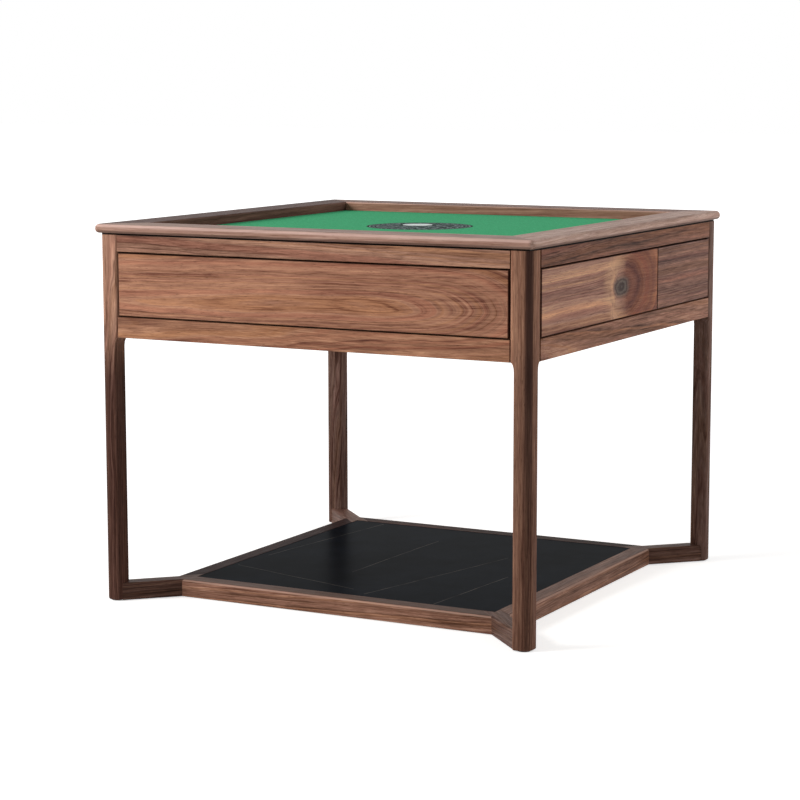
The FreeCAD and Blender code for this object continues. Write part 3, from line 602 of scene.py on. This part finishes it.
def dressInside():
    alongX, alongY = makePaleWood("x"), makePaleWood("y")
    ply = makePlywood()
    for node in nodes:
        frontToBack = node.startswith(("drawer_front", "drawer_back"))
        if node.startswith("drawer_") and node.endswith("_sides"):
            dress(node, alongY if frontToBack else alongX)
        elif node.startswith("drawer_") and node.endswith("_back"):
            dress(node, alongX if frontToBack else alongY)
        elif node.endswith("_bottom") or node == "play_board":
            dress(node, ply)
        elif node.startswith(("partition", "runners_centre")):
            dress(node, alongY)
        elif node.startswith(("divider", "runners", "shelf_battens")):
            dress(node, alongX)


dressInside()
print("inner wood dressed")


# screws: only their heads show, under the drawers' bottoms and on the runners' inner sides

screw = {
    "Head Radius": 3.8 * mm, "Head Height": 1.7 * mm,
    "Slot Width": 1.1 * mm, "Slot Length": 4.4 * mm, "Slot Depth": 1.0 * mm,
}
screwPlan = {
    "sides": 20, "panTop": 0.72,        # a head's corners, and its top's share of its radius
    "pitch": 110 * mm,
    "endRoom": 34 * mm,                 # from a board's end to its first screw
    "backInset": 16 * mm,               # from a drawer bottom's rear edge to the middle of the back
    "runnerWidth": 14 * mm, "runnerMiddle": 571.8 * mm,
}
zinc = {"light": "#d2cfc4", "dull": "#b9b6ab", "cloudSize": 2.5 * mm, "roughness": (0.28, 0.5)}


def makeZinc():
    # zinc-plated steel: pale grey and half bright, clouded where the plating dulled
    material, tree = startMaterial("zinc_plated_steel")
    coords = addNode(tree, "ShaderNodeTexCoord")
    clouds = addNode(tree, "ShaderNodeTexNoise", {
        "Vector": coords.outputs["Object"], "Scale": 1 / zinc["cloudSize"], "Detail": 3.0,
    })
    colour = fillRamp(addNode(tree, "ShaderNodeValToRGB", {"Fac": clouds}),
                      [(0.3, zinc["dull"]), (0.7, zinc["light"])])
    rough = addNode(tree, "ShaderNodeMapRange", {
        "Value": clouds, "From Min": 0.3, "From Max": 0.7,
        "To Min": zinc["roughness"][0], "To Max": zinc["roughness"][1],
    })
    shader = addNode(tree, "ShaderNodeBsdfPrincipled", {
        "Base Color": colour, "Metallic": 1.0, "Roughness": rough,
    })
    return finishMaterial(material, shader)


def makeScrewTree(material):
    # a cross-slotted pan head on each point, turned the way the point faces
    tree = bpy.data.node_groups.new("screw_heads", "GeometryNodeTree")
    tree.interface.new_socket("Geometry", in_out="INPUT", socket_type="NodeSocketGeometry")
    for name in screw:
        tree.interface.new_socket(name, in_out="INPUT", socket_type="NodeSocketFloat")
    tree.interface.new_socket("Geometry", in_out="OUTPUT", socket_type="NodeSocketGeometry")
    given = addNode(tree, "NodeGroupInput").outputs
    top = addNode(tree, "ShaderNodeMath", {
        0: given["Head Radius"], 1: screwPlan["panTop"],
    }, operation="MULTIPLY")
    pan = addNode(tree, "GeometryNodeMeshCone", {
        "Vertices": screwPlan["sides"], "Radius Top": top, "Radius Bottom": given["Head Radius"],
        "Depth": given["Head Height"],
    })
    deep = addNode(tree, "ShaderNodeMath", {0: given["Slot Depth"], 1: 2.0}, operation="MULTIPLY")
    level = addNode(tree, "ShaderNodeCombineXYZ", {"Z": given["Head Height"]})
    slots = []
    for long, short in (("X", "Y"), ("Y", "X")):
        size = addNode(tree, "ShaderNodeCombineXYZ", {
            long: given["Slot Length"], short: given["Slot Width"], "Z": deep,
        })
        bar = addNode(tree, "GeometryNodeMeshCube", {"Size": size})
        slots.append(addNode(tree, "GeometryNodeTransform", {"Geometry": bar, "Translation": level}))
    cross = addNode(tree, "GeometryNodeMeshBoolean", {"Mesh 2": slots[0]}, operation="UNION")
    tree.links.new(slots[1].outputs["Geometry"], cross.inputs["Mesh 2"])
    head = addNode(tree, "GeometryNodeMeshBoolean", {
        "Mesh 1": pan, "Mesh 2": cross,
    }, operation="DIFFERENCE")
    way = addNode(tree, "GeometryNodeInputNamedAttribute", {"Name": "facing"}, data_type="FLOAT_VECTOR")
    turn = addNode(tree, "FunctionNodeAlignRotationToVector", {"Vector": way}, axis="Z")
    heads = addNode(tree, "GeometryNodeInstanceOnPoints", {
        "Points": given["Geometry"], "Instance": head, "Rotation": turn,
    })
    real = addNode(tree, "GeometryNodeRealizeInstances", {"Geometry": heads})
    plated = addNode(tree, "GeometryNodeSetMaterial", {"Geometry": real, "Material": material})
    addNode(tree, "NodeGroupOutput", {"Geometry": plated})
    return tree


def driveScrews(body, heads, tree):
    # heads lists each screw's place and the way its head faces
    mesh = bpy.data.meshes.new("screws_" + body)
    mesh.from_pydata([place for place, _ in heads], [], [])
    facing = mesh.attributes.new("facing", "FLOAT_VECTOR", "POINT")
    for point, (_, way) in zip(facing.data, heads):
        point.vector = way
    piece = bpy.data.objects.new("screws_" + body, mesh)
    bpy.context.scene.collection.objects.link(piece)
    grown = piece.modifiers.new("screw_heads", "NODES")
    grown.node_group = tree
    for item in tree.interface.items_tree:
        if item.in_out == "INPUT" and item.name in screw:
            grown[item.identifier] = screw[item.name]
    evaluated = piece.evaluated_get(bpy.context.evaluated_depsgraph_get())
    piece.data = bpy.data.meshes.new_from_object(evaluated)
    piece.modifiers.remove(grown)
    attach(piece, body)


def spread(low, high):
    # places at even steps, the first and last one endRoom from the ends
    low, high = low + screwPlan["endRoom"], high - screwPlan["endRoom"]
    count = max(1, round((high - low) / screwPlan["pitch"]))
    return [low + (high - low) * k / count for k in range(count + 1)]


def makeScrews():
    tree = makeScrewTree(makeZinc())
    inset = screwPlan["backInset"]
    for bottom in sorted(node for node in nodes if node.endswith("_bottom")):
        drawer = bottom.removesuffix("_bottom")
        low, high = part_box(bottom)
        if drawer in ("drawer_front", "drawer_back"):
            rear = high.y - inset if drawer == "drawer_front" else low.y + inset
            places = [(x, rear, low.z) for x in spread(low.x, high.x)]
        else:
            rear = low.x + inset if "right" in drawer else high.x - inset
            places = [(rear, y, low.z) for y in spread(low.y, high.y)]
        driveScrews(drawer, [(place, (0, 0, -1)) for place in places], tree)
    low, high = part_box("runners_centre")
    heads = []
    for edge, way in ((low.x + screwPlan["runnerWidth"], 1), (high.x - screwPlan["runnerWidth"], -1)):
        heads += [((edge, y, screwPlan["runnerMiddle"]), (way, 0, 0)) for y in spread(low.y, high.y)]
    driveScrews("root", heads, tree)


makeScrews()
print("screws driven")


# stone shelf and glides

stone = {
    "dark": "#0b0e12", "light": "#13171d", "vein": "#5a5752",
    "cloudSize": 90 * mm, "roughness": 0.3, "specular": 0.0015, "relief": 0.03 * mm,
    "veinWidth": 1.2 * mm,
    "wobble": 3 * mm,           # how far a hairline strays to either side
    "strays": 14, "pales": 22,  # per metre: it strays every 70 mm and pales every 45 mm
    "grit": 900,                # per metre, 1.1 mm each
    # each hairline as two points on the slab, in mm from its middle
    "veins": (
        ((-325, -200), (2, -288)),
        ((-319, -87), (-262, 327)),
        ((-78, -152), (-66, 213)),
        ((41, -318), (147, 123)),
        ((203, -331), (226, -45)),
    ),
}
nylon = {
    "dark": "#1c1c1d", "light": "#29292b", "roughness": 0.55, "relief": 0.05 * mm,
    "pebbles": 1200,            # per metre, 0.8 mm each
}


def makeStone():
    # honed black sintered stone: soft dark cloud under a few straight pale hairlines
    material, tree = startMaterial("honed_black_stone")
    place = addNode(tree, "ShaderNodeTexCoord").outputs["Object"]
    clouds = addNode(tree, "ShaderNodeTexNoise", {
        "Vector": place, "Scale": 1 / stone["cloudSize"], "Detail": 5.0, "Roughness": 0.6,
    })
    colour = fillRamp(addNode(tree, "ShaderNodeValToRGB", {"Fac": clouds}),
                      [(0.35, stone["dark"]), (0.7, stone["light"])])
    stray = addNode(tree, "ShaderNodeTexNoise", {"Vector": place, "Scale": stone["strays"], "Detail": 3.0})
    strength = addNode(tree, "ShaderNodeTexNoise", {"Vector": place, "Scale": stone["pales"]})
    faint = fillRamp(addNode(tree, "ShaderNodeValToRGB", {"Fac": strength}), [(0.3, 0.15), (0.62, 1.0)])
    wobble = addNode(tree, "ShaderNodeMath", {
        0: stray, 1: 2 * stone["wobble"], 2: -stone["wobble"],
    }, operation="MULTIPLY_ADD")
    veins = None
    for start, end in stone["veins"]:
        start, end = Vector(start) * mm, Vector(end) * mm
        middle, along = (start + end) / 2, (end - start).normalized()
        off = Vector((-along.y, along.x, 0))
        side = addNode(tree, "ShaderNodeVectorMath", {0: place, 1: off}, operation="DOT_PRODUCT")
        side = addNode(tree, "ShaderNodeMath", {
            0: side, 1: off.x * start.x + off.y * start.y,
        }, operation="SUBTRACT")
        side = addNode(tree, "ShaderNodeMath", {0: side, 1: wobble}, operation="ADD")
        side = addNode(tree, "ShaderNodeMath", {0: side}, operation="ABSOLUTE")
        line = addNode(tree, "ShaderNodeMapRange", {
            "Value": side, "From Min": 0.3 * stone["veinWidth"], "From Max": stone["veinWidth"],
            "To Min": 1.0, "To Max": 0.0,
        })
        reach = addNode(tree, "ShaderNodeVectorMath", {
            0: place, 1: (along.x, along.y, 0),
        }, operation="DOT_PRODUCT")
        reach = addNode(tree, "ShaderNodeMath", {
            0: reach, 1: along.x * middle.x + along.y * middle.y, 2: (end - start).length / 2,
        }, operation="COMPARE")
        vein = addNode(tree, "ShaderNodeMath", {0: line, 1: reach}, operation="MULTIPLY")
        if veins is not None:
            vein = addNode(tree, "ShaderNodeMath", {0: veins, 1: vein}, operation="MAXIMUM")
        veins = vein
    shown = addNode(tree, "ShaderNodeMath", {0: veins, 1: faint}, operation="MULTIPLY")
    colour = addNode(tree, "ShaderNodeMix", {
        "Factor": shown, 6: colour, 7: linear(stone["vein"]),
    }, data_type="RGBA")
    grit = addNode(tree, "ShaderNodeTexNoise", {"Vector": place, "Scale": stone["grit"], "Detail": 1.0})
    bump = addNode(tree, "ShaderNodeBump", {"Height": grit, "Distance": stone["relief"], "Strength": 0.3})
    shader = addNode(tree, "ShaderNodeBsdfPrincipled", {
        "Base Color": colour, "Roughness": stone["roughness"],
        "Specular IOR Level": stone["specular"], "Normal": bump,
    })
    return finishMaterial(material, shader)


def makeNylon():
    # moulded black nylon: dull, with a fine pebbled skin
    material, tree = startMaterial("moulded_nylon")
    coords = addNode(tree, "ShaderNodeTexCoord")
    pebbles = addNode(tree, "ShaderNodeTexNoise", {
        "Vector": coords.outputs["Object"], "Scale": nylon["pebbles"],
    })
    colour = fillRamp(addNode(tree, "ShaderNodeValToRGB", {"Fac": pebbles}),
                      [(0.3, nylon["dark"]), (0.7, nylon["light"])])
    bump = addNode(tree, "ShaderNodeBump", {
        "Height": pebbles, "Distance": nylon["relief"], "Strength": 0.5,
    })
    shader = addNode(tree, "ShaderNodeBsdfPrincipled", {
        "Base Color": colour, "Roughness": nylon["roughness"], "Normal": bump,
    })
    return finishMaterial(material, shader)


dress("stone_slab", makeStone())
dress("leg_glides", makeNylon())
print("stone and glides dressed")


# felt field with its printed medallion

felt = {
    "green": "#39ad74", "greenDark": "#2d9563", "greenLight": "#50c288",
    "clumpSize": 5 * mm,        # tufts of pressed wool
    "hairWidth": 0.8 * mm,      # a wool hair is finer, so a few are drawn as one
    "roughness": 0.95, "specular": 0.05,
    "sheen": 0.06, "sheenRoughness": 0.5, "sheenTint": "#bfe0cd",
    "relief": 0.25 * mm,
    "cells": 96,
    "edgeRadius": 0.8 * mm,
    "ripple": 0.12 * mm,
}
medallion = {
    "radius": 110 * mm,
    "ground": "#0c1217", "mid": "#2a3238", "pale": "#959fa3", "moonColour": "#f2f8f6", "sea": "#b9c6c9",
    "ringOut": (102.5 * mm, 104.5 * mm), "ringIn": (88 * mm, 89.5 * mm),
    "beadCircle": 96 * mm, "beadRadius": 2.6 * mm, "beads": 40,
    "moon": (-24 * mm, 36 * mm), "moonRadius": 31 * mm,
    "sky": 1.25,                # dark sky round the moon, in moon radii
    "seas": 45,                 # grey patches per metre, 22 mm each
    "waveCentre": (-70 * mm, -190 * mm), "waveSpacing": 20 * mm,
}


def feltShape():
    # pressed cloth cut square, its edge rounded where the knife ran and tucked against the rim
    low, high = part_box("felt")
    count, inset = felt["cells"], felt["edgeRadius"]
    shape = bmesh.new()
    width = high.x - low.x - 2 * inset
    steps = [low.x] + [low.x + inset + width * k / count for k in range(count + 1)] + [high.x]
    grid = []
    for y in steps:
        row = []
        for x in steps:
            onEdge = x in (low.x, high.x) or y in (low.y, high.y)
            wave = math.sin(x * 41 + 2 * math.sin(y * 17)) * math.sin(y * 37 + 2 * math.sin(x * 13))
            z = high.z - inset if onEdge else high.z - felt["ripple"] * (1 + wave) / 2
            row.append(shape.verts.new((x, y, z)))
        grid.append(row)
    base = [shape.verts.new((x, y, low.z)) for x, y in
            ((low.x, low.y), (high.x, low.y), (high.x, high.y), (low.x, high.y))]
    for upper, lower in zip(grid[1:], grid):
        for k in range(len(steps) - 1):
            shape.faces.new((lower[k], lower[k + 1], upper[k + 1], upper[k]))
    shape.faces.new(base[::-1])
    edges = (grid[0], [row[-1] for row in grid], grid[-1][::-1], [row[0] for row in grid][::-1])
    for k, edge in enumerate(edges):
        shape.faces.new([base[k], base[(k + 1) % 4]] + edge[::-1])
    for face in shape.faces:
        face.smooth = True
    bmesh.ops.recalc_face_normals(shape, faces=shape.faces)
    return shape


def printMedallion(tree, place, ground):
    # a beaded ring round a moon over water, printed in charcoal and grey
    flat = addNode(tree, "ShaderNodeVectorMath", {0: place, 1: (1, 1, 0)}, operation="MULTIPLY")
    split = addNode(tree, "ShaderNodeSeparateXYZ", {"Vector": flat}).outputs
    radius = addNode(tree, "ShaderNodeVectorMath", {0: flat}, operation="LENGTH")
    angle = addNode(tree, "ShaderNodeMath", {0: split["Y"], 1: split["X"]}, operation="ARCTAN2")
    # water: rings from a far centre, broken up like brush strokes
    source = Vector((*medallion["waveCentre"], 0))
    fromSource = addNode(tree, "ShaderNodeVectorMath", {0: flat, 1: source}, operation="SUBTRACT")
    water = addNode(tree, "ShaderNodeTexWave", {
        "Vector": fromSource, "Scale": 0.315 / medallion["waveSpacing"],    # 3.2 rings a metre at scale 1
        "Distortion": 5.0, "Detail": 3.0, "Detail Scale": 2.2, "Detail Roughness": 0.6,
    }, wave_type="RINGS", rings_direction="Z")
    inside = fillRamp(addNode(tree, "ShaderNodeValToRGB", {"Fac": water.outputs["Fac"]}),
                      [(0.55, medallion["ground"]), (0.8, medallion["mid"]), (0.96, medallion["pale"])])
    # a full moon with faint grey seas, in a round of dark sky
    moonPlace = Vector((*medallion["moon"], 0))
    fromMoon = addNode(tree, "ShaderNodeVectorMath", {0: flat, 1: moonPlace}, operation="DISTANCE")
    inSky = addNode(tree, "ShaderNodeMath", {
        0: fromMoon, 1: medallion["sky"] * medallion["moonRadius"],
    }, operation="LESS_THAN")
    inside = addNode(tree, "ShaderNodeMix", {
        "Factor": inSky, 6: inside, 7: linear(medallion["ground"]),
    }, data_type="RGBA")
    onMoon = addNode(tree, "ShaderNodeMath", {
        0: fromMoon, 1: medallion["moonRadius"],
    }, operation="LESS_THAN")
    seas = addNode(tree, "ShaderNodeTexNoise", {"Vector": flat, "Scale": medallion["seas"], "Detail": 4.0})
    moon = fillRamp(addNode(tree, "ShaderNodeValToRGB", {"Fac": seas}),
                    [(0.5, medallion["moonColour"]), (0.8, medallion["sea"])])
    inside = addNode(tree, "ShaderNodeMix", {"Factor": onMoon, 6: inside, 7: moon}, data_type="RGBA")
    inField = addNode(tree, "ShaderNodeMath", {0: radius, 1: medallion["ringIn"][0]}, operation="LESS_THAN")
    printed = addNode(tree, "ShaderNodeMix", {
        "Factor": inField, 6: linear(medallion["ground"]), 7: inside,
    }, data_type="RGBA")
    # beads: the angle folded into one step, then a dot in the middle of it
    step = 2 * math.pi / medallion["beads"]
    folded = addNode(tree, "ShaderNodeMath", {0: angle, 1: step / 2}, operation="PINGPONG")
    circle = medallion["beadCircle"]
    sideways = addNode(tree, "ShaderNodeMath", {0: folded, 1: circle}, operation="MULTIPLY")
    outward = addNode(tree, "ShaderNodeMath", {0: radius, 1: circle}, operation="SUBTRACT")
    fromBead = addNode(tree, "ShaderNodeCombineXYZ", {"X": sideways, "Y": outward})
    fromBead = addNode(tree, "ShaderNodeVectorMath", {0: fromBead}, operation="LENGTH")
    marks = addNode(tree, "ShaderNodeMath", {
        0: fromBead, 1: medallion["beadRadius"],
    }, operation="LESS_THAN")
    for inner, outer in (medallion["ringOut"], medallion["ringIn"]):
        ring = addNode(tree, "ShaderNodeMath", {
            0: radius, 1: (inner + outer) / 2, 2: (outer - inner) / 2,
        }, operation="COMPARE")
        marks = addNode(tree, "ShaderNodeMath", {0: marks, 1: ring}, operation="MAXIMUM")
    printed = addNode(tree, "ShaderNodeMix", {
        "Factor": marks, 6: printed, 7: linear(medallion["pale"]),
    }, data_type="RGBA")
    onPrint = addNode(tree, "ShaderNodeMath", {0: radius, 1: medallion["radius"]}, operation="LESS_THAN")
    return addNode(tree, "ShaderNodeMix", {"Factor": onPrint, 6: ground, 7: printed}, data_type="RGBA")


def makeFelt():
    # pressed wool felt: even green with a soft mottle, and a bloom of loose hairs against the light
    material, tree = startMaterial("green_wool_felt")
    place = addNode(tree, "ShaderNodeTexCoord").outputs["Object"]
    clumps = addNode(tree, "ShaderNodeTexNoise", {
        "Vector": place, "Scale": 1 / felt["clumpSize"], "Detail": 3.0, "Roughness": 0.7, "Distortion": 0.8,
    })
    hairs = addNode(tree, "ShaderNodeTexNoise", {
        "Vector": place, "Scale": 1 / felt["hairWidth"], "Distortion": 2.0,
    })
    nap = addNode(tree, "ShaderNodeMath", {0: hairs, 1: 0.5, 2: clumps}, operation="MULTIPLY_ADD")
    colour = fillRamp(addNode(tree, "ShaderNodeValToRGB", {"Fac": nap}),
                      [(0.5, felt["greenDark"]), (0.75, felt["green"]), (1.0, felt["greenLight"])])
    colour = printMedallion(tree, place, colour)
    bump = addNode(tree, "ShaderNodeBump", {"Height": nap, "Distance": felt["relief"], "Strength": 0.7})
    shader = addNode(tree, "ShaderNodeBsdfPrincipled", {
        "Base Color": colour, "Roughness": felt["roughness"], "Specular IOR Level": felt["specular"],
        "Sheen Weight": felt["sheen"], "Sheen Roughness": felt["sheenRoughness"],
        "Sheen Tint": linear(felt["sheenTint"]), "Normal": bump,
    })
    return finishMaterial(material, shader)


feltSheet = addObject("felt_sheet", feltShape(), makeFelt())
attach(feltSheet, "root")
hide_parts("felt")
print("felt laid")


# stage, light and camera

studio = {
    "floorSize": 60.0, "floorColour": "#f4f4f4",
    "floorLift": (0.55, 1.1), "liftDistance": (1.2, 6.0),   # glow near the table and far from it
    "skyStrength": 0.3,
    "lamps": (
        # name, place, aim, size, power
        ("key_softbox", (-3.8, -3.9, 2.6), (0, 0, 0.55), 2.4, 270.0),
        ("side_softbox", (4.4, 2.2, 2.0), (0, 0, 0.5), 2.2, 100.0),
    ),
}
camera = {
    "place": (2.2328, -4.2826, 1.0711),
    "yaw": 28.026, "pitch": -8.150, "roll": -0.0714,
    "focalPixels": 2345.3, "picturePixels": 800, "sensor": 36.0, "clipEnd": 200.0,
}


def seenItself(tree):
    # 1 where the stage is seen straight, in a mirror or through glass, 0 where it lights the table
    rays = addNode(tree, "ShaderNodeLightPath").outputs
    seen = rays["Is Camera Ray"]
    for kind in ("Is Glossy Ray", "Is Transmission Ray"):
        seen = addNode(tree, "ShaderNodeMath", {0: seen, 1: rays[kind]}, operation="MAXIMUM")
    return seen


def makePaper():
    # matt white background paper, lifted to white where it is seen
    material, tree = startMaterial("white_studio_paper")
    seen = seenItself(tree)
    coords = addNode(tree, "ShaderNodeTexCoord")
    away = addNode(tree, "ShaderNodeVectorMath", {0: coords.outputs["Object"]}, operation="LENGTH")
    near, far = studio["liftDistance"]
    rising = addNode(tree, "ShaderNodeMapRange", {
        "Value": away, "From Min": near, "From Max": far,
        "To Min": studio["floorLift"][0], "To Max": studio["floorLift"][1],
    })
    lift = addNode(tree, "ShaderNodeMath", {0: seen, 1: rising}, operation="MULTIPLY")
    paper = addNode(tree, "ShaderNodeBsdfDiffuse", {"Color": linear(studio["floorColour"])})
    glow = addNode(tree, "ShaderNodeEmission", {"Strength": lift})
    return finishMaterial(material, addNode(tree, "ShaderNodeAddShader", {0: paper, 1: glow}))


def makeFloor():
    half = studio["floorSize"] / 2
    shape = bmesh.new()
    shape.faces.new([shape.verts.new((x, y, 0)) for x, y in
                     ((-half, -half), (half, -half), (half, half), (-half, half))])
    addObject("studio_floor", shape, makePaper())


def makeSky():
    world = bpy.data.worlds.new("white_studio")
    bpy.context.scene.world = world
    world.use_nodes = True
    tree = world.node_tree
    tree.nodes.clear()
    strength = addNode(tree, "ShaderNodeMapRange", {
        "Value": seenItself(tree), "To Min": studio["skyStrength"],
    })
    sky = addNode(tree, "ShaderNodeBackground", {"Strength": strength, "Color": (1, 1, 1, 1)})
    addNode(tree, "ShaderNodeOutputWorld", {"Surface": sky})


def hangLamps():
    for name, place, aim, size, power in studio["lamps"]:
        light = bpy.data.lights.new(name, "AREA")
        light.shape = "DISK"
        light.size = size
        light.energy = power
        lamp = bpy.data.objects.new(name, light)
        bpy.context.scene.collection.objects.link(lamp)
        lamp.location = place
        lamp.rotation_euler = (Vector(aim) - Vector(place)).to_track_quat("-Z", "Y").to_euler()


def placeCamera():
    eye = bpy.data.cameras.new("camera")
    eye.sensor_width = camera["sensor"]
    eye.lens = camera["focalPixels"] / camera["picturePixels"] * camera["sensor"]
    eye.clip_end = camera["clipEnd"]
    holder = bpy.data.objects.new("camera", eye)
    bpy.context.scene.collection.objects.link(holder)
    turn = Matrix.Rotation(math.radians(camera["yaw"]), 4, "Z")
    turn = turn @ Matrix.Rotation(math.radians(90 + camera["pitch"]), 4, "X")
    turn = turn @ Matrix.Rotation(math.radians(camera["roll"]), 4, "Z")
    holder.matrix_world = Matrix.Translation(camera["place"]) @ turn
    bpy.context.scene.camera = holder


makeFloor()
makeSky()
hangLamps()
placeCamera()
bpy.context.scene.view_settings.view_transform = "Standard"
print("stage, light and camera set")
